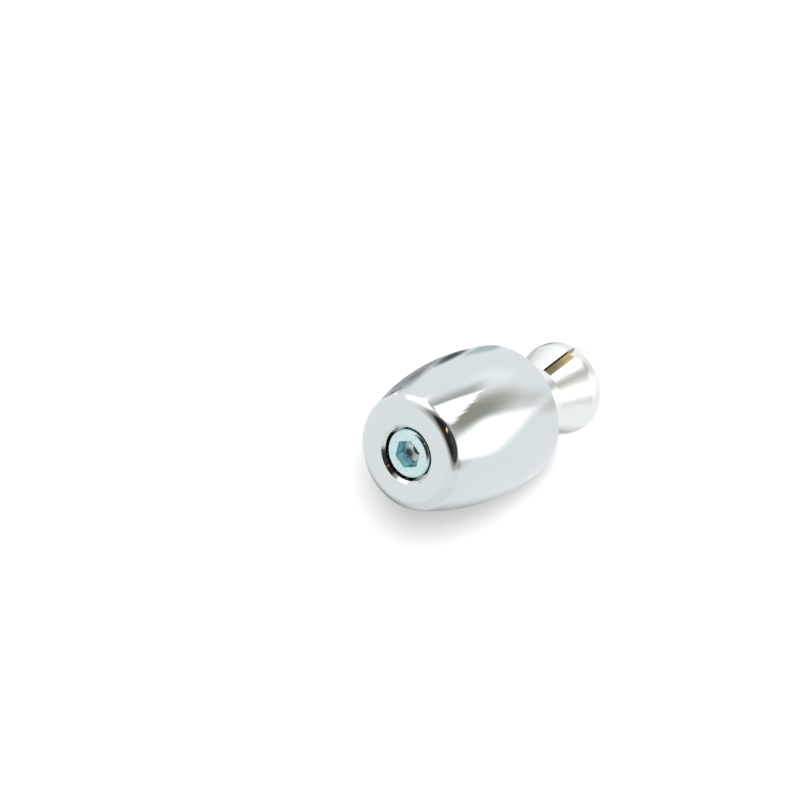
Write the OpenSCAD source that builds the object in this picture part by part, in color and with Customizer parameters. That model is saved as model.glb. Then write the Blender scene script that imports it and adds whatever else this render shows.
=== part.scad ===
// Bar end weight for a motorbike handlebar, in millimetres.
// A barrel-shaped weight closes the end of the bar. A long socket head screw runs through it
// and draws a keyed wedge nut up into a split, flared sleeve, which spreads and grips the bar.
// The part stands on the sleeve's rim at z = 0, with the weight's outboard face up.

/* [Weight] */
// Length of the weight along its axis
weight_len = 32.2; // [28:0.2:40]
// Diameter of the weight where it is fullest
weight_d = 29.8; // [28:0.2:34]
// Distance from the outboard face down to the fullest point
bulge_depth = 21; // [17:0.2:24]
// Radius of the long arc that bows the weight's side
bow_r = 62; // [50:0.5:80]
// Rounding between the side and the outboard face
face_round = 2.5; // [0.8:0.1:3]
// Rounding between the side and the back face
back_round = 1.2; // [0.6:0.1:2]
// Bevel at the mouth of the counterbore
mouth_bevel = 0.6; // [0.3:0.1:1]

/* [Screw] */
// Nominal thread diameter
thread_d = 6; // [5:0.5:6.5]
// Diameter of the screw's head
head_d = 10; // [9.5:0.1:10.5]
// Height of the screw's head
head_h = 6; // [5:0.25:7]
// Rounding bevel round the top of the head
head_bevel = 0.5; // [0.2:0.1:0.8]
// Width of the hexagon socket across its flats
hex_width = 5; // [4:0.5:5.5]
// Depth of the socket's flat walls
hex_depth = 3; // [2.5:0.25:3.5]
// Turn of the hexagon about the axis, in degrees
hex_turn = 15; // [0:5:55]
// How far the top of the head lies below the outboard face
head_recess = 0.4; // [0.2:0.1:1.5]
// Gap all round between the head and the counterbore
head_gap = 0.5; // [0.3:0.1:0.8]
// Gap all round between the thread and the holes that it passes through
shank_gap = 0.3; // [0.2:0.05:0.5]

/* [Expander sleeve] */
// Diameter of the straight neck
neck_d = 12.8; // [12:0.1:13.5]
// Visible length of the neck behind the weight
neck_len = 10.9; // [8.9:0.5:12.9]
// Length of the cone from the neck to the rim's land
flare_len = 7.5; // [7:0.5:10]
// Diameter of the rim, which goes into the bar
rim_d = 18.5; // [17:0.1:19.4]
// Length of the straight land round the rim, with its rounded lip
land_len = 2.3; // [1.6:0.1:3]
// Rounding of the rim's outer lip
lip_round = 0.6; // [0.3:0.1:0.9]
// Thickness of the flared wall, square to the cone
sleeve_wall = 1.8; // [1.5:0.1:2]
// Length of the saw cut from the rim up
cut_len = 9.6; // [9.1:0.5:12.1]
// Width of the saw cut that splits the flare into two fingers
cut_w = 2; // [1.4:0.1:2.6]
// Bearing of the saw cut about the axis, in degrees
cut_turn = -54; // [-90:6:90]
// Length of the spigot that locates the neck in the weight
spigot_len = 3; // [2:0.5:5]
// Gap all round between the spigot and its seat in the weight
spigot_gap = 0.05; // [0.02:0.01:0.1]

/* [Wedge nut] */
// Length of the nut along its axis
nut_len = 7; // [6:0.5:8]
// How far the nut's wide end lies inside the rim while it is hand tight
nut_recess = 2.2; // [2.1:0.1:4]
// Gap between the nut's cone and the sleeve's, square to the cone
taper_gap = 0.1; // [0.06:0.01:0.2]
// How far the screw's tip stands out of the nut's wide end; the screw is 45 long under its head with 0.7 here
tip_past = 0.7; // [0.1:0.1:1.5]
// How far the keys stand out of the nut's cone
key_rise = 0.9; // [0.6:0.1:1.2]
// Gap between each side of a key and the saw cut
key_gap = 0.12; // [0.08:0.01:0.2]
// Gap between the top of a key and the closed end of the saw cut
key_end_gap = 0.4; // [0.3:0.1:1]
// Gap all round between the screw's thread and the nut's
thread_gap = 0.04; // [0.02:0.01:0.08]
// Bevel at the edges of the nut
nut_bevel = 0.4; // [0.2:0.1:0.5]

/* [Hidden] */
$fn = 96;
past = 1;
bow_steps = 12;
round_steps = 8;

// Heights along the axis, from the rim up
flare_top_z = land_len + flare_len;
back_z = flare_top_z + neck_len;
face_z = back_z + weight_len;
spigot_top_z = back_z + spigot_len;
bulge_z = face_z - bulge_depth;
head_top_z = face_z - head_recess;
head_seat_z = head_top_z - head_h;
nut_top_z = nut_recess + nut_len;
screw_tip_z = nut_recess - tip_past;
screw_len = head_seat_z - screw_tip_z;

// Radii round the axis
thread_r = thread_d / 2;
head_r = head_d / 2;
neck_r = neck_d / 2;
rim_r = rim_d / 2;
passage_r = thread_r + shank_gap;
counterbore_r = head_r + head_gap;
thread_bevel = thread_d / 10;

// The hole drilled before the hexagon is pressed: its share of the width, how much deeper it goes,
// and the slope of its point
drill_share = 0.96;
drill_extra = 0.3;
drill_slope = 30;

// The sleeve's cone, outside and inside
flare_slope = (rim_r - neck_r) / flare_len;
flare_angle = atan(flare_slope);
mouth_r = rim_r + land_len * flare_slope - sleeve_wall / cos(flare_angle);
taper_len = (mouth_r - passage_r) / flare_slope;

// The nut's cone runs a gap inside the sleeve's
nut_wide_r = mouth_r - nut_recess * flare_slope - taper_gap / cos(flare_angle);
key_rise_r = key_rise / cos(flare_angle);
key_w = cut_w - 2 * key_gap;
key_top_z = min(cut_len - key_end_gap, nut_top_z);

// Radius of the nut's cone at a height
function nut_r(z) = nut_wide_r - (z - nut_recess) * flare_slope;

// Points along an arc of a circle, between two angles
function arc(centre, radius, from, to, steps) = [
    for (i = [0:steps])
        let(turn = from + (to - from) * i / steps)
        centre + radius * [cos(turn), sin(turn)]
];

// Half section of the weight, with the axis along Y. Each round meets the bow where both have one tangent.
module weight_section() {
    bow_centre = [weight_d / 2 - bow_r, bulge_z];
    face_turn = asin((face_z - face_round - bulge_z) / (bow_r - face_round));
    back_turn = asin((back_z + back_round - bulge_z) / (bow_r - back_round));
    face_centre = bow_centre + (bow_r - face_round) * [cos(face_turn), sin(face_turn)];
    back_centre = bow_centre + (bow_r - back_round) * [cos(back_turn), sin(back_turn)];
    lower_bow = arc(bow_centre, bow_r, back_turn, 0, bow_steps);
    upper_bow = arc(bow_centre, bow_r, 0, face_turn, bow_steps);
    polygon(concat(
        [[0, back_z]],
        arc(back_centre, back_round, -90, back_turn, round_steps),
        [for (i = [1:bow_steps]) lower_bow[i]],
        [for (i = [1:bow_steps - 1]) upper_bow[i]],
        arc(face_centre, face_round, face_turn, 90, round_steps),
        [[0, face_z]]
    ));
}

module bevel_ring(r, z, bevel, side) {
    translate([0, 0, side > 0 ? z - bevel : z - past])
        cylinder(h = bevel + past,
                 r1 = side > 0 ? r : r + bevel + past,
                 r2 = side > 0 ? r + bevel + past : r);
}

module weight() {
    color([0.80, 0.82, 0.83])
    difference() {
        rotate_extrude() weight_section();
        translate([0, 0, head_seat_z]) cylinder(h = head_h + head_recess + past, r = counterbore_r);
        bevel_ring(counterbore_r, face_z, mouth_bevel, 1);
        translate([0, 0, back_z - past]) cylinder(h = weight_len, r = passage_r);
        translate([0, 0, back_z - past]) cylinder(h = spigot_len + past, r = neck_r + spigot_gap);
    }
}

// Hexagon across its flats, with the point of the drill that went before it in the floor
module hex_socket() {
    floor_z = head_top_z - hex_depth;
    drill_r = drill_share * hex_width / 2;
    drill_z = floor_z - drill_extra;
    rotate([0, 0, hex_turn]) translate([0, 0, floor_z])
        cylinder(h = hex_depth + past, r = hex_width / 2 / cos(30), $fn = 6);
    rotate_extrude() polygon([
        [0, drill_z - drill_r * tan(drill_slope)],
        [drill_r, drill_z],
        [drill_r, head_top_z],
        [0, head_top_z]
    ]);
}

module cap_screw() {
    color([0.72, 0.84, 0.86])
    difference() {
        union() {
            translate([0, 0, head_seat_z]) cylinder(h = head_h - head_bevel, r = head_r);
            translate([0, 0, head_top_z - head_bevel])
                cylinder(h = head_bevel, r1 = head_r, r2 = head_r - head_bevel);
            translate([0, 0, screw_tip_z + thread_bevel])
                cylinder(h = screw_len - thread_bevel, r = thread_r);
            translate([0, 0, screw_tip_z])
                cylinder(h = thread_bevel, r1 = thread_r - thread_bevel, r2 = thread_r);
        }
        hex_socket();
    }
}

// Half section of the sleeve, with the axis along Y
module sleeve_section() {
    difference() {
        polygon([
            [0, 0],
            [rim_r, 0],
            [rim_r, land_len],
            [neck_r, flare_top_z],
            [neck_r, spigot_top_z],
            [0, spigot_top_z]
        ]);
        polygon([[0, -past], [mouth_r + past * flare_slope, -past], [passage_r, taper_len], [0, taper_len]]);
        square([passage_r, spigot_top_z + past]);
        translate([rim_r - lip_round, 0]) square(lip_round);
    }
    translate([rim_r - lip_round, lip_round]) circle(lip_round);
}

module expander_sleeve() {
    color([0.90, 0.91, 0.91])
    difference() {
        rotate_extrude() sleeve_section();
        rotate([0, 0, cut_turn]) translate([-rim_r - past, -cut_w / 2, -past])
            cube([2 * (rim_r + past), cut_w, cut_len + past]);
    }
}

// Two keys, one in each side of the saw cut, that stop the nut from turning
module nut_keys() {
    height = key_top_z - nut_recess;
    intersection() {
        translate([0, 0, nut_recess])
            cylinder(h = height, r1 = nut_wide_r + key_rise_r, r2 = nut_r(key_top_z) + key_rise_r);
        rotate([0, 0, cut_turn]) translate([-rim_r, -key_w / 2, nut_recess]) cube([rim_d, key_w, height]);
    }
}

module wedge_nut() {
    hole_r = thread_r + thread_gap;
    color([0.80, 0.66, 0.34])
    difference() {
        union() {
            translate([0, 0, nut_recess]) cylinder(h = nut_len, r1 = nut_wide_r, r2 = nut_r(nut_top_z));
            nut_keys();
        }
        translate([0, 0, nut_recess - past]) cylinder(h = nut_len + 2 * past, r = hole_r);
        bevel_ring(hole_r, nut_recess, nut_bevel, -1);
        bevel_ring(hole_r, nut_top_z, nut_bevel, 1);
    }
}

weight();
cap_screw();
expander_sleeve();
wedge_nut();
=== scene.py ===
# Bar end weight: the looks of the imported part, its studio and its camera.
# Lengths are in metres, in the part's own frame: the axis is Z, and the rim stands at z = 0.
import math

import bmesh
import bpy
from mathutils import Matrix, Vector


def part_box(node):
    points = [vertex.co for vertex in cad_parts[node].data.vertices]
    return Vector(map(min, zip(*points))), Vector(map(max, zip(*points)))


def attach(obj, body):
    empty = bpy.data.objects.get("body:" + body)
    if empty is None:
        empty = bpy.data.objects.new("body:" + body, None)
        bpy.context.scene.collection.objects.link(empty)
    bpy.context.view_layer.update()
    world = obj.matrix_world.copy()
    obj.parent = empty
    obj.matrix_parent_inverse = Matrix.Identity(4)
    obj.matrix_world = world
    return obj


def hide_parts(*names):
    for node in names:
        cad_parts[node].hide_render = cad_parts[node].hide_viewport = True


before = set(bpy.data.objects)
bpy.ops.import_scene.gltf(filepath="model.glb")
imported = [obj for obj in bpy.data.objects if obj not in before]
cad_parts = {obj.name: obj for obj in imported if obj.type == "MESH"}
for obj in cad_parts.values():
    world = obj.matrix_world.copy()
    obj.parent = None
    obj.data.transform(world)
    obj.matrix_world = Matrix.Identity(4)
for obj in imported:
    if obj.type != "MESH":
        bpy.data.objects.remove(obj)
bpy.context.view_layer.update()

MM = 0.001

# Sizes that the CAD part has. Those that no node's box gives are written in millimetres.
WEIGHT_LOW, WEIGHT_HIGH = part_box("weight")
SCREW_LOW, SCREW_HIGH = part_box("cap_screw")
SLEEVE_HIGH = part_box("expander_sleeve")[1]
NUT_LOW, NUT_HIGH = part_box("wedge_nut")
FACE_Z = WEIGHT_HIGH.z
BACK_Z = WEIGHT_LOW.z
WEIGHT_R = WEIGHT_HIGH.x
BULGE_DEPTH = 21.0 * MM
BULGE_Z = FACE_Z - BULGE_DEPTH
BOW_R = 62.0 * MM
FACE_ROUND = 2.5 * MM
BACK_ROUND = 1.2 * MM
MOUTH_BEVEL = 0.6 * MM
COUNTERBORE_R = 5.5 * MM
PASSAGE_R = 3.3 * MM
SEAT_R = 6.45 * MM
HEAD_R = SCREW_HIGH.x
HEAD_H = 6.0 * MM
HEAD_ROUND = 0.5 * MM
HEAD_TOP_Z = SCREW_HIGH.z
HEAD_SEAT_Z = HEAD_TOP_Z - HEAD_H
HEX_FLAT = 2.5 * MM
HEX_DEPTH = 3.0 * MM
HEX_TURN = math.radians(15)
DRILL_R = 2.4 * MM
DRILL_SLOPE = math.radians(30)
THREAD_R = 3.0 * MM
TIP_BEVEL = 0.6 * MM
TIP_Z = SCREW_LOW.z
RIM_R = SLEEVE_HIGH.x
NECK_R = 6.4 * MM
LAND_TOP_Z = 2.3 * MM
FLARE_TOP_Z = 9.8 * MM
LIP_ROUND = 0.6 * MM
SLEEVE_WALL = 1.8 * MM
CUT_TOP_Z = 9.6 * MM
CUT_HALF = 1.0 * MM
CUT_TURN = math.radians(-54)
SPIGOT_TOP_Z = SLEEVE_HIGH.z
FLARE_SLOPE = (RIM_R - NECK_R) / (FLARE_TOP_Z - LAND_TOP_Z)
FLARE_COS = math.cos(math.atan(FLARE_SLOPE))
MOUTH_R = RIM_R + LAND_TOP_Z * FLARE_SLOPE - SLEEVE_WALL / FLARE_COS
TAPER_TOP_Z = (MOUTH_R - PASSAGE_R) / FLARE_SLOPE
NUT_HOLE_R = 3.04 * MM
NUT_BEVEL = 0.4 * MM
TAPER_GAP = 0.1 * MM
NUT_WIDE_R = MOUTH_R - NUT_LOW.z * FLARE_SLOPE - TAPER_GAP / FLARE_COS
KEY_HALF = 0.88 * MM

# Fine forms that only the looks have. The keys stand 0.9 mm out of the nut's cone in the CAD part, and
# higher here, because the photograph shows them close under the sleeve's surface.
HEX_LEAD = 0.15 * MM
HEX_LEAD_DEPTH = 0.5 * MM
DRILL_STEP = 0.05 * MM
THREAD_ROOT_R = 2.45 * MM
THREAD_PITCH = 1.0 * MM
THREAD_LENGTH = 24.0 * MM
NUT_ROOT_R = 3.35 * MM
KEY_RISE = 1.5 * MM / FLARE_COS
KEY_NOTCH = 0.5 * MM
KEY_NOTCH_END = 1.2 * MM
KNURL_DEPTH = 0.18 * MM
KNURL_MARGIN = 0.5 * MM
HEAD_FOOT_R = HEAD_R - 0.5 * MM
HEAD_FOOT_H = 0.3 * MM
HEX_LEAD_START = 0.75 * HEX_LEAD
FLARE_BLEND = 3.0 * MM
NECK_BLEND_R = 0.02 * MM
NECK_BLEND_H = 0.1 * MM
SPIGOT_BEVEL = 0.3 * MM
NUT_EDGE = 0.12 * MM

# Extra rings this close to an edge keep the shading flat up to it
HOLD = 0.03 * MM
SOFT_HOLD = 0.06 * MM
HEAD_HOLD = 0.1 * MM
SOCKET_HOLD = 0.04 * MM
SLEEVE_HOLD = 0.05 * MM

# A thread's form, in pitches: half of the flat at its crest, and its flank
THREAD_FLAT = 1 / 16
THREAD_FLANK = 5 / 16
RINGS_PER_PITCH = 12

# How finely the round forms are divided
WEIGHT_SEGMENTS = 256
BOW_STEPS = 64
FACE_STEPS = 20
BACK_STEPS = 14
SCREW_SEGMENTS = 144
KNURL_EVERY = 3
FINGER_STEPS = 120
GAP_STEPS = 12
LIP_STEPS = 10
BLEND_STEPS = 5
KEY_STEPS = 8
NUT_ARC_STEPS = 60

# Real edges are sharper than these angles; softer ones are shaded smooth
WEIGHT_SHARP = math.radians(28)
SCREW_SHARP = math.radians(32)
SLEEVE_SHARP = math.radians(15)
NUT_SHARP = math.radians(30)

# The view: how far the axis is tipped from the line of sight, and how far the picture is turned
TILT = math.radians(40.8)
ROLL = math.radians(23.0)
DISTANCE = 0.9
FOCAL_PX = 4644.0
FRAME_PX = 800.0
FACE_PX = (406.2, 454.8)
SENSOR_MM = 36.0
CLIP_NEAR = 0.05
CLIP_FAR = 50.0

RIGHT = Vector((-math.sin(ROLL), -math.cos(TILT) * math.cos(ROLL), -math.sin(TILT) * math.cos(ROLL)))
UP = Vector((math.cos(ROLL), -math.cos(TILT) * math.sin(ROLL), -math.sin(TILT) * math.sin(ROLL)))
TO_CAMERA = Vector((0.0, -math.sin(TILT), math.cos(TILT)))


def make_camera():
    """A camera that sees the part as the photograph does."""
    data = bpy.data.cameras.new("camera")
    data.sensor_width = SENSOR_MM
    data.lens = FOCAL_PX / FRAME_PX * SENSOR_MM
    data.clip_start = CLIP_NEAR
    data.clip_end = CLIP_FAR
    camera = bpy.data.objects.new("camera", data)
    bpy.context.scene.collection.objects.link(camera)
    metres_per_px = DISTANCE / FOCAL_PX
    across = (FACE_PX[0] - FRAME_PX / 2) * metres_per_px
    down = (FACE_PX[1] - FRAME_PX / 2) * metres_per_px
    place = Vector((0, 0, FACE_Z)) + TO_CAMERA * DISTANCE - RIGHT * across + UP * down
    turn = Matrix((RIGHT, UP, TO_CAMERA)).transposed().to_4x4()
    camera.matrix_world = Matrix.Translation(place) @ turn
    bpy.context.scene.camera = camera


class Nodes:
    """A node tree with short calls for the sums that a procedural picture needs."""

    def __init__(self, tree):
        self.tree = tree
        self.tree.nodes.clear()

    def add(self, kind, **settings):
        node = self.tree.nodes.new(kind)
        for key, value in settings.items():
            setattr(node, key, value)
        return node

    def link(self, source, target):
        self.tree.links.new(source, target)

    def feed(self, socket, value):
        if isinstance(value, bpy.types.NodeSocket):
            self.link(value, socket)
        else:
            socket.default_value = value

    def calc(self, operation, a, b=0.0):
        node = self.add("ShaderNodeMath", operation=operation)
        self.feed(node.inputs[0], a)
        self.feed(node.inputs[1], b)
        return node.outputs[0]

    def times(self, a, b):
        return self.calc("MULTIPLY", a, b)

    def length(self, a, b):
        """The length of the vector (a, b)."""
        squares = self.calc("ADD", self.calc("POWER", a, 2.0), self.calc("POWER", b, 2.0))
        return self.calc("SQRT", squares)

    def dot(self, vector, fixed):
        node = self.add("ShaderNodeVectorMath", operation="DOT_PRODUCT")
        self.link(vector, node.inputs[0])
        node.inputs[1].default_value = fixed
        return node.outputs["Value"]

    def split(self, vector):
        """The three coordinates of a vector, by name."""
        node = self.add("ShaderNodeSeparateXYZ")
        self.link(vector, node.inputs[0])
        return node.outputs

    def ramp(self, value, low, high, out_low=0.0, out_high=1.0):
        """Smoothly from out_low at low to out_high at high."""
        node = self.add("ShaderNodeMapRange", interpolation_type="SMOOTHSTEP")
        self.feed(node.inputs["Value"], value)
        node.inputs["From Min"].default_value = low
        node.inputs["From Max"].default_value = high
        node.inputs["To Min"].default_value = out_low
        node.inputs["To Max"].default_value = out_high
        return node.outputs["Result"]

    def mix(self, factor, a, b):
        node = self.add("ShaderNodeMix", data_type="RGBA")
        self.feed(node.inputs["Factor"], factor)
        for socket, value in ((node.inputs[6], a), (node.inputs[7], b)):
            self.feed(socket, value if isinstance(value, bpy.types.NodeSocket) else (*value, 1.0))
        return node.outputs[2]

    def noise(self, vector, scale, detail=2.0, roughness=0.5):
        node = self.add("ShaderNodeTexNoise")
        self.link(vector, node.inputs["Vector"])
        node.inputs["Scale"].default_value = scale
        node.inputs["Detail"].default_value = detail
        node.inputs["Roughness"].default_value = roughness
        return node.outputs["Fac"]


# The studio: soft shapes on a map of the directions round the part. A place on the map is given in
# degrees from the camera's direction, to the right and up as the photograph is seen.
# Each shape is: kind, right, up, half width, half height, turn in degrees, softness in degrees, colour.
# A blob is an ellipse, and a ragged shape is a box with a torn edge. Later shapes cover earlier ones.
WALL = (0.86, 0.90, 0.905)
STUDIO = [
    # Large soft fields and two pale cards, well away from the camera
    ("blob", -112, -130, 70, 70, 0, 36, (0.335, 0.36, 0.36)),
    ("box", 20, -174, 110, 32, 0, 28, (0.40, 0.43, 0.43)),
    ("box", -10, -80, 60, 34, 0, 28, (0.79, 0.83, 0.82)),
    ("box", 52, 94, 19, 7, -30, 9, (0.97, 1.02, 1.03)),
    ("box", -92, 98, 12, 16, 0, 10, (0.94, 1.00, 0.97)),
    # Grey cards and dark streaks behind the part, which show along the barrel's upper edge
    ("box", -80, 148, 40, 22, 0, 9, (0.36, 0.385, 0.385)),
    ("box", -95, 122, 13, 5, 0, 3, (0.43, 0.45, 0.45)),
    ("box", -74, 127.5, 13, 1.2, 2, 2.0, (0.10, 0.11, 0.11)),
    ("box", -57, 139, 9, 3, 15, 4, (0.22, 0.24, 0.24)),
    ("box", -38, 144, 4, 9, 0, 4, (0.62, 0.66, 0.68)),
    ("blob", -26, 155, 15, 14, 0, 5, (0.20, 0.23, 0.23)),
    ("blob", -25, 154, 8, 6, 0, 4, (0.07, 0.09, 0.09)),
    ("box", 10, 156, 15, 12, 0, 6, (0.47, 0.575, 0.575)),
    # Greys round the lamps
    ("box", 82, 52, 24, 9, -28, 9, (0.69, 0.72, 0.69)),
    ("blob", 117, 25, 9, 11, 0, 6, (0.66, 0.70, 0.67)),
    ("box", 25, 75, 24, 13, 0, 8, (0.44, 0.455, 0.43)),
    ("blob", 54, 46, 25, 22, 0, 13, (0.33, 0.335, 0.28)),
    ("blob", -4, 2, 50, 40, 0, 10, (0.50, 0.51, 0.49)),
    ("box", 36, -35, 36, 9, 0, 7, (0.44, 0.455, 0.44)),
    # The lamps, the first of them cut off at a slant, and the grey surround of the dark patch
    ("box", 78.5, 4, 17, 28, -14, 7, (1.45, 1.46, 1.44)),
    ("box", 101, -33, 34, 14, 48, 11, WALL),
    ("box", -25, 74, 26, 27, -12, 6, (1.50, 1.51, 1.50)),
    ("box", -68, 120, 5, 6, 0, 3, (1.20, 1.22, 1.22)),
    ("blob", 4, 4, 46, 47, 0, 6, (0.36, 0.365, 0.345)),
    ("ragged", 33, 60.5, 18.5, 17.5, -5, 2.0, (1.40, 1.41, 1.38)),
    # A card that keeps the line along the sleeve's cone light
    ("box", 50, 31, 4, 15, 26, 4, (0.56, 0.575, 0.55)),
    # The dark patch round the camera, with its warm glints
    ("blob", 11, 1, 41, 37, 0, 4, (0.056, 0.060, 0.055)),
    ("blob", -6, 14, 22, 20, 0, 8, (0.027, 0.022, 0.020)),
    ("blob", -4, -14, 18, 12, 0, 6, (0.016, 0.021, 0.017)),
    ("box", 34, 28, 8, 4, 20, 5, (0.30, 0.24, 0.17)),
    ("box", 27, 24, 8, 2.5, 30, 3, (0.10, 0.07, 0.02)),
    ("box", -9, 4, 14, 2.5, 18, 3, (0.055, 0.030, 0.006)),
    ("box", 12, 16.5, 9, 1.8, 41, 2.4, (1.50, 1.05, 0.66)),
]

# The torn edge of one lamp: length and width of its strokes, and how deep they go, in degrees
RAGGED_LENGTH = 40.0
RAGGED_WIDTH = 2.6
RAGGED_DEPTH = 17.0

# Keeps the map's sums finite straight toward the camera and straight away from it
NEARLY_ONE = 0.99999


def studio_map(nodes, ray):
    """Where a direction lies on the map, as degrees to the right and up."""
    toward = nodes.calc("MAXIMUM", nodes.dot(ray, TO_CAMERA), -NEARLY_ONE)
    angle = nodes.calc("ARCCOSINE", nodes.calc("MINIMUM", toward, NEARLY_ONE))
    degrees = nodes.times(angle, math.degrees(1))
    stretch = nodes.calc("DIVIDE", degrees, nodes.calc("SINE", angle))
    return nodes.times(nodes.dot(ray, RIGHT), stretch), nodes.times(nodes.dot(ray, UP), stretch)


def soft_shape(nodes, across, up, shape):
    """How far the shape covers a place on its map, from 0 to 1."""
    kind, right_at, up_at, half_w, half_h, turn, soft = shape[:7]
    cosine = math.cos(math.radians(turn))
    sine = math.sin(math.radians(turn))
    if kind == "ragged":
        place = nodes.add("ShaderNodeCombineXYZ")
        nodes.link(nodes.calc("DIVIDE", across, RAGGED_LENGTH), place.inputs["X"])
        nodes.link(nodes.calc("DIVIDE", up, RAGGED_WIDTH), place.inputs["Y"])
        tear = nodes.calc("SUBTRACT", nodes.noise(place.outputs[0], 1.0, 3.0, 0.65), 0.5)
        across = nodes.calc("ADD", across, nodes.times(tear, RAGGED_DEPTH))
    x = nodes.calc("SUBTRACT", across, float(right_at))
    y = nodes.calc("SUBTRACT", up, float(up_at))
    u = nodes.calc("ADD", nodes.times(x, cosine), nodes.times(y, sine))
    v = nodes.calc("SUBTRACT", nodes.times(y, cosine), nodes.times(x, sine))
    if kind == "blob":
        reach = nodes.length(nodes.calc("DIVIDE", u, float(half_w)), nodes.calc("DIVIDE", v, float(half_h)))
        edge = soft / min(half_w, half_h)
        return nodes.ramp(reach, 1 - edge, 1 + edge, 1.0, 0.0)
    u = nodes.ramp(nodes.calc("ABSOLUTE", u), half_w - soft, half_w + soft, 1.0, 0.0)
    v = nodes.ramp(nodes.calc("ABSOLUTE", v), half_h - soft, half_h + soft, 1.0, 0.0)
    return nodes.times(u, v)


def make_world():
    """White to the camera, and the studio to everything that mirrors it."""
    world = bpy.data.worlds.new("studio")
    bpy.context.scene.world = world
    world.use_nodes = True
    nodes = Nodes(world.node_tree)
    ray = nodes.add("ShaderNodeTexCoord").outputs["Generated"]
    across, up = studio_map(nodes, ray)
    colour = WALL
    for shape in STUDIO:
        colour = nodes.mix(soft_shape(nodes, across, up, shape), colour, shape[-1])
    studio = nodes.add("ShaderNodeBackground")
    nodes.feed(studio.inputs["Color"], colour)
    white = nodes.add("ShaderNodeBackground")
    white.inputs["Color"].default_value = (1, 1, 1, 1)
    path = nodes.add("ShaderNodeLightPath")
    choose = nodes.add("ShaderNodeMixShader")
    nodes.link(path.outputs["Is Camera Ray"], choose.inputs[0])
    nodes.link(studio.outputs[0], choose.inputs[1])
    nodes.link(white.outputs[0], choose.inputs[2])
    output = nodes.add("ShaderNodeOutputWorld")
    nodes.link(choose.outputs[0], output.inputs["Surface"])


# The sun's strength and breadth, and the direction that it shines from
SUN_STRENGTH = 4.6
SUN_BREADTH = math.radians(9)
FROM_SUN = Vector((0.09, -0.68, 0.725))

# The floor is half lit and half aglow, so that it stays white with a faint shadow
FLOOR_HALF = 3.0
FLOOR_GREY = (0.50, 0.50, 0.50, 1)
FLOOR_GLOW = 0.26


def make_sun():
    """A soft light from beside the camera. The metal doesn't mirror it."""
    data = bpy.data.lights.new("sun", "SUN")
    data.energy = SUN_STRENGTH
    data.angle = SUN_BREADTH
    sun = bpy.data.objects.new("sun", data)
    bpy.context.scene.collection.objects.link(sun)
    sun.rotation_euler = FROM_SUN.to_track_quat("Z", "Y").to_euler()
    sun.visible_glossy = False


def make_floor():
    """A pale floor that keeps a faint shadow and stays out of the metal's reflections."""
    mesh = bpy.data.meshes.new("floor")
    corners = [(x * FLOOR_HALF, y * FLOOR_HALF, 0) for x, y in ((-1, -1), (1, -1), (1, 1), (-1, 1))]
    mesh.from_pydata(corners, [], [(0, 1, 2, 3)])
    floor = bpy.data.objects.new("floor", mesh)
    bpy.context.scene.collection.objects.link(floor)
    material = bpy.data.materials.new("floor")
    material.use_nodes = True
    nodes = Nodes(material.node_tree)
    paper = nodes.add("ShaderNodeBsdfDiffuse")
    paper.inputs["Color"].default_value = FLOOR_GREY
    glow = nodes.add("ShaderNodeEmission")
    glow.inputs["Color"].default_value = (1, 1, 1, 1)
    glow.inputs["Strength"].default_value = FLOOR_GLOW
    both = nodes.add("ShaderNodeAddShader")
    nodes.link(paper.outputs[0], both.inputs[0])
    nodes.link(glow.outputs[0], both.inputs[1])
    output = nodes.add("ShaderNodeOutputMaterial")
    nodes.link(both.outputs[0], output.inputs["Surface"])
    mesh.materials.append(material)
    floor.visible_glossy = False


def metal(name, colour, roughness):
    """A bare metal: its nodes, its shader and the place on its surface."""
    material = bpy.data.materials.new(name)
    material.use_nodes = True
    nodes = Nodes(material.node_tree)
    shader = nodes.add("ShaderNodeBsdfPrincipled")
    shader.inputs["Base Color"].default_value = (*colour, 1)
    shader.inputs["Metallic"].default_value = 1.0
    shader.inputs["Roughness"].default_value = roughness
    output = nodes.add("ShaderNodeOutputMaterial")
    nodes.link(shader.outputs[0], output.inputs["Surface"])
    place = nodes.add("ShaderNodeTexCoord").outputs["Object"]
    return material, nodes, shader, place


def bump(nodes, shader, height, distance):
    """Relief on the surface, as deep as distance."""
    node = nodes.add("ShaderNodeBump")
    node.inputs["Strength"].default_value = 1.0
    node.inputs["Distance"].default_value = distance
    nodes.link(height, node.inputs["Height"])
    nodes.link(node.outputs["Normal"], shader.inputs["Normal"])


# Colours of the metals
CHROME = (0.80, 0.82, 0.83)
ALUMINIUM = (0.99, 0.985, 0.965)
# Painted shade for the walls of the saw cut, tinted olive by a painted reflection of the nut
CUT_WALL_SHADE = (0.36, 0.37, 0.29)
BLUE_ZINC = (0.64, 0.83, 0.86)
PALE_ZINC = (0.80, 0.90, 0.91)
SCUFFED_ZINC = (0.40, 0.54, 0.52)
SOCKET_WALL = (0.60, 0.95, 0.97)
SOCKET_FLOOR = (0.94, 0.95, 1.0)
GOLD_ZINC = (0.50, 0.39, 0.21)
# The plate's own brown and green tints, darkened as painted shade toward the nut's narrow end
BROWN_TINT_AND_SHADE = (0.36, 0.26, 0.15)
GREEN_TINT_AND_SHADE = (0.24, 0.22, 0.13)

# A change of colour starts this far from a surface, and is complete at the second distance
NEAR = 0.01 * MM
FAR = 0.03 * MM

# The circle within which the head counts as socket, with a soft edge
SOCKET_R = 3.1 * MM
SOCKET_SOFT = 0.05 * MM

# Painted shade and reflection on the socket's drilled floor: a violet patch by the far wall and a dark green
# one in the middle
SOCKET_PAINTED_SHADE_AND_REFLECTION = [
    (("blob", 0.1 * MM, 2.1 * MM, 0.85 * MM, 0.45 * MM, 0, 0.2 * MM), (0.36, 0.34, 0.48)),
    (("blob", 0.05 * MM, 0.55 * MM, 1.0 * MM, 0.75 * MM, 0, 0.06 * MM), (0.07, 0.12, 0.10)),
]

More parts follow.
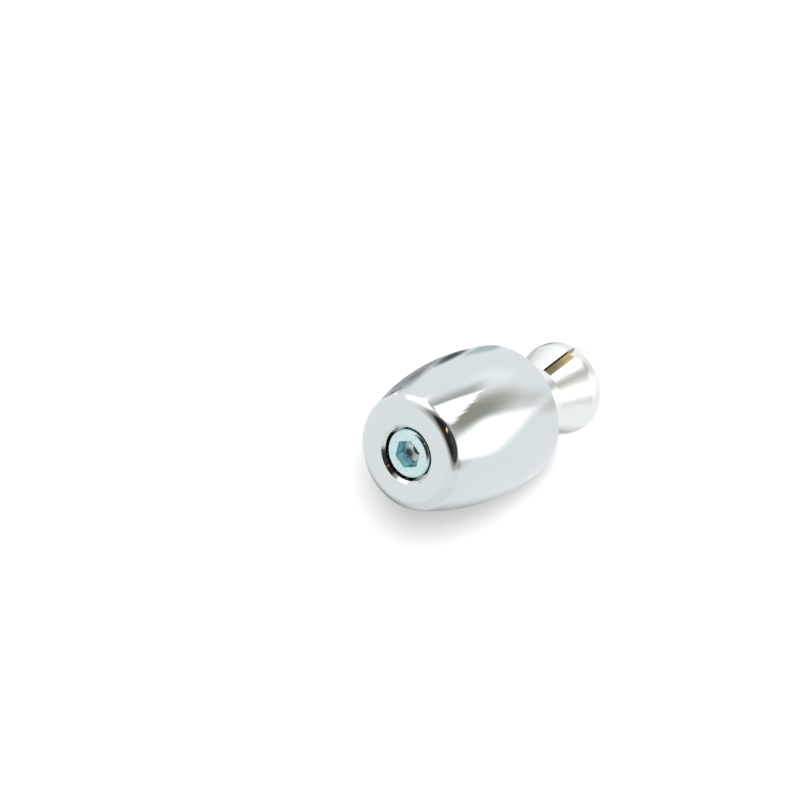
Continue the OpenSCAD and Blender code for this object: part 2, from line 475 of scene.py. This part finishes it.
# Depths of the relief on the metals
CHROME_RIPPLE = 0.0015 * MM
BLUE_ZINC_GRAIN = 0.006 * MM
YELLOW_ZINC_GRAIN = 0.01 * MM


def chrome():
    """Mirror-bright chrome, with the slight cloud and ripple that polishing leaves."""
    material, nodes, shader, place = metal("chrome", CHROME, 0.04)
    cloud = nodes.noise(place, 260.0, 3.0)
    nodes.link(nodes.ramp(cloud, 0.3, 0.7, 0.025, 0.06), shader.inputs["Roughness"])
    bump(nodes, shader, nodes.noise(place, 700.0), CHROME_RIPPLE)
    return material


def satin_aluminium():
    """Near-white satin aluminium, a little clouded, with painted shade and a painted reflection of the nut
    on the walls of the saw cut.
    """
    material, nodes, shader, place = metal("satin_aluminium", ALUMINIUM, 0.27)
    cloud = nodes.noise(place, 420.0, 3.0)
    nodes.link(nodes.ramp(cloud, 0.3, 0.7, 0.25, 0.29), shader.inputs["Roughness"])
    height = nodes.split(place)["Z"]
    # Painted shade and a painted reflection of the nut, laid on the walls of the saw cut below its top
    off_cut = nodes.calc("ABSOLUTE", nodes.dot(place, (-math.sin(CUT_TURN), math.cos(CUT_TURN), 0)))
    beside = nodes.ramp(off_cut, CUT_HALF + NEAR, CUT_HALF + FAR, 1.0, 0.0)
    under = nodes.ramp(height, CUT_TOP_Z + NEAR, CUT_TOP_Z + FAR, 1.0, 0.0)
    nodes.link(nodes.mix(nodes.times(beside, under), ALUMINIUM, CUT_WALL_SHADE), shader.inputs["Base Color"])
    return material


def blue_zinc():
    """Pale blue zinc plate, a little clouded and scuffed, and a deeper blue inside the socket, with painted
    shade and reflection on its floor.
    """
    material, nodes, shader, place = metal("blue_zinc", PALE_ZINC, 0.2)
    at = nodes.split(place)
    out = nodes.length(at["X"], at["Y"])
    within = nodes.ramp(out, SOCKET_R - SOCKET_SOFT, SOCKET_R + SOCKET_SOFT, 1.0, 0.0)
    below = nodes.ramp(at["Z"], HEAD_TOP_Z - FAR, HEAD_TOP_Z - NEAR, 1.0, 0.0)
    inside = nodes.times(within, below)
    floor_z = HEAD_TOP_Z - HEX_DEPTH
    deep = nodes.times(nodes.ramp(at["Z"], floor_z + NEAR, floor_z + DRILL_STEP, 1.0, 0.0), inside)
    socket = nodes.mix(deep, SOCKET_WALL, SOCKET_FLOOR)
    # Painted shade and reflection laid on the socket's drilled floor
    for painted_patch, colour in SOCKET_PAINTED_SHADE_AND_REFLECTION:
        cover = soft_shape(nodes, at["X"], at["Y"], painted_patch)
        socket = nodes.mix(nodes.times(cover, deep), socket, colour)
    cloud = nodes.noise(place, 900.0, 4.0, 0.6)
    scuffs = nodes.ramp(nodes.noise(place, 1500.0, 5.0, 0.7), 0.58, 0.64)
    plate = nodes.mix(scuffs, nodes.mix(cloud, BLUE_ZINC, PALE_ZINC), SCUFFED_ZINC)
    nodes.link(nodes.mix(inside, plate, socket), shader.inputs["Base Color"])
    satin = nodes.ramp(cloud, 0.3, 0.7, 0.10, 0.22)
    nodes.link(nodes.calc("ADD", satin, nodes.times(inside, 0.2)), shader.inputs["Roughness"])
    bump(nodes, shader, nodes.noise(place, 1900.0, 3.0), BLUE_ZINC_GRAIN)
    return material


def yellow_zinc():
    """Yellow zinc plate: gold at the wide end, browner and then greener toward the narrow one, its own
    tints, and darker there as painted shade under the closed end of the saw cut.
    """
    material, nodes, shader, place = metal("yellow_zinc", GOLD_ZINC, 0.26)
    bloom = nodes.calc("SUBTRACT", nodes.noise(place, 330.0, 3.0), 0.5)
    along = nodes.ramp(nodes.split(place)["Z"], NUT_LOW.z, NUT_HIGH.z, -0.1, 1.1)
    along = nodes.calc("ADD", along, nodes.times(bloom, 0.9))
    # Toward the narrow end the colour turns browner, greener and darker: partly the plate's tint, partly
    # painted shade
    brown = nodes.mix(nodes.ramp(along, 0.05, 0.6), GOLD_ZINC, BROWN_TINT_AND_SHADE)
    nodes.link(nodes.mix(nodes.ramp(along, 0.60, 1.0), brown, GREEN_TINT_AND_SHADE), shader.inputs["Base Color"])
    bump(nodes, shader, nodes.noise(place, 1500.0, 3.0), YELLOW_ZINC_GRAIN)
    return material


def arc(centre, radius, start, stop, steps):
    """Points along an arc in the plane of (distance from the axis, height), angles in radians."""
    points = []
    for i in range(steps + 1):
        turn = start + (stop - start) * i / steps
        points.append((centre[0] + radius * math.cos(turn), centre[1] + radius * math.sin(turn)))
    return points


def polar(r, turn, z):
    """The point at a distance from the axis, a bearing and a height."""
    return r * math.cos(turn), r * math.sin(turn), z


def finish_piece(name, bm, material, sharp):
    """The object made from a bmesh, shaded smooth but for its real edges."""
    bmesh.ops.recalc_face_normals(bm, faces=bm.faces)
    mesh = bpy.data.meshes.new(name)
    bm.to_mesh(mesh)
    bm.free()
    mesh.shade_smooth()
    mesh.set_sharp_from_angle(angle=sharp)
    mesh.materials.append(material)
    piece = bpy.data.objects.new(name, mesh)
    bpy.context.scene.collection.objects.link(piece)
    return piece


def dress(piece, node, body):
    """The piece stands for a node, which it hides, and moves with a body."""
    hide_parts(node)
    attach(piece, body)


def circle(r, z, segments):
    """One ring of points round the axis."""
    return [polar(r, 2 * math.pi * i / segments, z) for i in range(segments)]


def skin(bm, rings, closed=True):
    """Faces between rings of points. A ring of one point is a tip."""
    made = [[bm.verts.new(point) for point in ring] for ring in rings]
    count = max(len(ring) for ring in made)
    following = made[1:] + made[:1] if closed else made[1:]
    for one, two in zip(made, following):
        for i in range(count):
            j = (i + 1) % count
            corners = [one[i % len(one)], one[j % len(one)], two[j % len(two)], two[i % len(two)]]
            corners = list(dict.fromkeys(corners))
            if len(corners) > 2:
                bm.faces.new(corners)


def weight_profile():
    """The weight's whole section: side, face, counterbore, passage and seat."""
    bow_centre = (WEIGHT_R - BOW_R, BULGE_Z)
    face_turn = math.asin((FACE_Z - FACE_ROUND - BULGE_Z) / (BOW_R - FACE_ROUND))
    back_turn = math.asin((BACK_Z + BACK_ROUND - BULGE_Z) / (BOW_R - BACK_ROUND))
    face_centre = (bow_centre[0] + (BOW_R - FACE_ROUND) * math.cos(face_turn), FACE_Z - FACE_ROUND)
    back_centre = (bow_centre[0] + (BOW_R - BACK_ROUND) * math.cos(back_turn), BACK_Z + BACK_ROUND)
    side = arc(bow_centre, BOW_R, back_turn, face_turn, BOW_STEPS)
    profile = [(SEAT_R, BACK_Z), (SEAT_R + HOLD, BACK_Z), (back_centre[0] - HOLD, BACK_Z)]
    profile += arc(back_centre, BACK_ROUND, -math.pi / 2, back_turn, BACK_STEPS)
    profile += side[1:-1]
    profile += arc(face_centre, FACE_ROUND, face_turn, math.pi / 2, FACE_STEPS)
    profile += [(face_centre[0] - HOLD, FACE_Z), (COUNTERBORE_R + MOUTH_BEVEL + HOLD, FACE_Z)]
    profile += [(COUNTERBORE_R + MOUTH_BEVEL, FACE_Z), (COUNTERBORE_R, FACE_Z - MOUTH_BEVEL)]
    profile += [(COUNTERBORE_R, HEAD_SEAT_Z), (PASSAGE_R, HEAD_SEAT_Z)]
    profile += [(PASSAGE_R, SPIGOT_TOP_Z), (SEAT_R, SPIGOT_TOP_Z)]
    return profile


def make_weight():
    bm = bmesh.new()
    skin(bm, [circle(r, z, WEIGHT_SEGMENTS) for r, z in weight_profile()])
    piece = finish_piece("weight_shell", bm, chrome(), WEIGHT_SHARP)
    dress(piece, "weight", "weight")


def hexagon(flat, z, segments):
    """Points on a hexagon, one for each ray of a ring; six of them are its corners."""
    points = []
    for i in range(segments):
        turn = 2 * math.pi * i / segments
        off = (turn - HEX_TURN) % (math.pi / 3) - math.pi / 6
        points.append(polar(flat / math.cos(off), turn, z))
    return points


def knurled(r, z, segments):
    """A ring round the head's side, grooved at every third point."""
    points = []
    for i in range(segments):
        depth = KNURL_DEPTH if i % KNURL_EVERY == 0 else 0
        points.append(polar(r - depth, 2 * math.pi * i / segments, z))
    return points


def thread_fall(z, turn):
    """How far a right-hand thread has fallen from its crest, from 0 to 1, at a height and a bearing."""
    phase = (z / THREAD_PITCH - turn / (2 * math.pi)) % 1.0
    return min(max((abs(phase - 0.5) - THREAD_FLAT) / THREAD_FLANK, 0.0), 1.0)


def shank_rings(segments):
    """The screw's tip, its thread and, where the thread runs out, its plain shank."""
    rings = [[(0, 0, TIP_Z)]]
    steps = int(THREAD_LENGTH / THREAD_PITCH * RINGS_PER_PITCH)
    for i in range(steps + 1):
        z = TIP_Z + THREAD_LENGTH * i / steps
        widest = THREAD_R - TIP_BEVEL + z - TIP_Z
        run_out = min(1.0, max(0.0, (TIP_Z + THREAD_LENGTH - z) / THREAD_PITCH))
        depth = (THREAD_R - THREAD_ROOT_R) * run_out
        ring = []
        for j in range(segments):
            turn = 2 * math.pi * j / segments
            ring.append(polar(min(THREAD_R - depth * thread_fall(z, turn), widest), turn, z))
        rings.append(ring)
    rings.append(circle(THREAD_R, HEAD_SEAT_Z, segments))
    return rings


def head_rings(segments):
    """The head, from its seat up the knurled side and over the bevel to its flat top."""
    bevel_z = HEAD_TOP_Z - HEAD_ROUND
    top_r = HEAD_R - HEAD_ROUND
    return [
        circle(HEAD_FOOT_R, HEAD_SEAT_Z, segments),
        circle(HEAD_R - KNURL_DEPTH, HEAD_SEAT_Z + HEAD_FOOT_H, segments),
        knurled(HEAD_R, HEAD_SEAT_Z + KNURL_MARGIN, segments),
        knurled(HEAD_R, bevel_z - KNURL_MARGIN, segments),
        circle(HEAD_R, bevel_z - KNURL_MARGIN / 2, segments),
        circle(HEAD_R, bevel_z, segments),
        circle(HEAD_R - HOLD, bevel_z + SOFT_HOLD, segments),
        circle(top_r + SOFT_HOLD, HEAD_TOP_Z - HOLD, segments),
        circle(top_r - HOLD, HEAD_TOP_Z, segments),
        circle(top_r - HEAD_HOLD, HEAD_TOP_Z, segments),
    ]


def socket_rings(segments):
    """The hexagon socket with its bevelled mouth, down to the point of the drill in its floor."""
    floor_z = HEAD_TOP_Z - HEX_DEPTH
    drill_z = floor_z - DRILL_STEP
    return [
        hexagon(HEX_FLAT + HEX_LEAD + SOCKET_HOLD, HEAD_TOP_Z, segments),
        hexagon(HEX_FLAT + HEX_LEAD, HEAD_TOP_Z, segments),
        hexagon(HEX_FLAT + HEX_LEAD_START, HEAD_TOP_Z - HOLD, segments),
        hexagon(HEX_FLAT, HEAD_TOP_Z - HEX_LEAD_DEPTH, segments),
        hexagon(HEX_FLAT, floor_z, segments),
        circle(DRILL_R, floor_z, segments),
        circle(DRILL_R - DRILL_STEP, drill_z, segments),
        [(0, 0, drill_z - DRILL_R * math.tan(DRILL_SLOPE))],
    ]


def make_screw():
    bm = bmesh.new()
    rings = shank_rings(SCREW_SEGMENTS) + head_rings(SCREW_SEGMENTS) + socket_rings(SCREW_SEGMENTS)
    skin(bm, rings, closed=False)
    piece = finish_piece("screw_fine", bm, blue_zinc(), SCREW_SHARP)
    dress(piece, "cap_screw", "screw")


def rim_profile():
    """The sleeve's section from the mouth of its taper, round the rim's lip and up the land."""
    land_turn = math.atan(FLARE_SLOPE)
    tangent = FLARE_BLEND * math.tan(land_turn / 2)
    outside = [(MOUTH_R + SLEEVE_HOLD, 0), (RIM_R - LIP_ROUND - SLEEVE_HOLD, 0)]
    outside += arc((RIM_R - LIP_ROUND, LIP_ROUND), LIP_ROUND, -math.pi / 2, 0, LIP_STEPS)
    outside += arc((RIM_R - FLARE_BLEND, LAND_TOP_Z - tangent), FLARE_BLEND, 0, land_turn, BLEND_STEPS)
    return outside


def cut_ring(r, z):
    """A ring whose points fall on the edges of the saw cut: finger, gap, finger, gap."""
    half = math.asin(CUT_HALF / r)
    points = []
    for side in (0, math.pi):
        start = CUT_TURN + side + half
        stop = CUT_TURN + side + math.pi - half
        for i in range(FINGER_STEPS + 1):
            points.append(polar(r, start + (stop - start) * i / FINGER_STEPS, z))
        for i in range(1, GAP_STEPS):
            points.append(polar(r, stop + 2 * half * i / GAP_STEPS, z))
    return points


def make_sleeve():
    """Two fingers below the top of the saw cut, and a whole tube above it."""
    bm = bmesh.new()
    outer_cut_r = NECK_R + (FLARE_TOP_Z - CUT_TOP_Z) * FLARE_SLOPE
    inner_cut_r = MOUTH_R - CUT_TOP_Z * FLARE_SLOPE
    low = [(inner_cut_r, CUT_TOP_Z), (MOUTH_R, 0)] + rim_profile() + [(outer_cut_r, CUT_TOP_Z)]
    high = [(NECK_R + NECK_BLEND_R, FLARE_TOP_Z), (NECK_R, FLARE_TOP_Z + NECK_BLEND_H)]
    high += [(NECK_R, SPIGOT_TOP_Z - SPIGOT_BEVEL), (NECK_R - SPIGOT_BEVEL, SPIGOT_TOP_Z)]
    high += [(PASSAGE_R + SLEEVE_HOLD, SPIGOT_TOP_Z), (PASSAGE_R, SPIGOT_TOP_Z), (PASSAGE_R, TAPER_TOP_Z)]
    fingers = [[bm.verts.new(point) for point in cut_ring(r, z)] for r, z in low]
    above = [[bm.verts.new(point) for point in cut_ring(r, z)] for r, z in high]
    tube = [fingers[-1]] + above + [fingers[0]]
    whole = len(fingers[0])
    span = whole // 2
    for one, two in zip(tube, tube[1:]):
        for i in range(whole):
            j = (i + 1) % whole
            bm.faces.new((one[i], one[j], two[j], two[i]))
    for one, two in zip(fingers, fingers[1:]):
        for first in (0, span):
            for i in range(first, first + FINGER_STEPS):
                bm.faces.new((one[i], one[i + 1], two[i + 1], two[i]))
    for side in (0, FINGER_STEPS, span, span + FINGER_STEPS):
        bm.faces.new([ring[side] for ring in fingers])
    for start in (FINGER_STEPS, span + FINGER_STEPS):
        for i in range(start, start + GAP_STEPS):
            j = (i + 1) % whole
            bm.faces.new((fingers[0][i], fingers[0][j], fingers[-1][j], fingers[-1][i]))
    loose = [vert for vert in bm.verts if not vert.link_faces]
    bmesh.ops.delete(bm, geom=loose, context="VERTS")
    piece = finish_piece("sleeve_fine", bm, satin_aluminium(), SLEEVE_SHARP)
    dress(piece, "expander_sleeve", "weight")


def nut_ring(r, z, notch=0.0):
    """The nut's outline: a key, then an arc of the cone, twice. The notch dips the keys' ends."""
    points = []
    top = r + KEY_RISE
    foot = math.asin(KEY_HALF / r)
    crown = math.asin(KEY_HALF / top)
    for side in (0, math.pi):
        for i in range(KEY_STEPS + 1):
            share = 2 * i / KEY_STEPS - 1
            points.append(polar(top, CUT_TURN + side + crown * share, z + notch * (1 - abs(share))))
        for i in range(NUT_ARC_STEPS + 1):
            turn = CUT_TURN + side + foot + (math.pi - 2 * foot) * i / NUT_ARC_STEPS
            points.append(polar(r, turn, z))
    return points


def make_nut():
    bm = bmesh.new()
    low, high = NUT_LOW.z, NUT_HIGH.z
    narrow_r = NUT_WIDE_R - (high - low) * FLARE_SLOPE
    narrow = nut_ring(narrow_r - NUT_EDGE, high)
    rings = [
        nut_ring(NUT_WIDE_R - NUT_EDGE, low, KEY_NOTCH),
        nut_ring(NUT_WIDE_R - NUT_EDGE * FLARE_SLOPE, low + NUT_EDGE, KEY_NOTCH),
        nut_ring(NUT_WIDE_R - KEY_NOTCH_END * FLARE_SLOPE, low + KEY_NOTCH_END),
        nut_ring(narrow_r + NUT_EDGE * FLARE_SLOPE, high - NUT_EDGE),
        narrow,
    ]
    bevel_r = NUT_HOLE_R + NUT_BEVEL
    turns = [math.atan2(y, x) for x, y, _ in narrow]
    wide_turns = [math.atan2(y, x) for x, y, _ in rings[0]]
    rings.append([polar(bevel_r, turn, high) for turn in turns])
    steps = int((high - low) / THREAD_PITCH * RINGS_PER_PITCH)
    for i in range(1, steps):
        z = high - (high - low) * i / steps
        inset = min(high - z, z - low)
        ring = []
        for turn in turns:
            r = NUT_HOLE_R + (NUT_ROOT_R - NUT_HOLE_R) * thread_fall(z, turn)
            ring.append(polar(max(r, bevel_r - inset), turn, z))
        rings.append(ring)
    rings.append([polar(bevel_r, turn, low) for turn in wide_turns])
    skin(bm, rings)
    piece = finish_piece("nut_fine", bm, yellow_zinc(), NUT_SHARP)
    dress(piece, "wedge_nut", "nut")


make_camera()
make_world()
make_sun()
make_floor()
make_weight()
make_screw()
make_sleeve()
make_nut()

bpy.context.scene.view_settings.view_transform = "Standard"
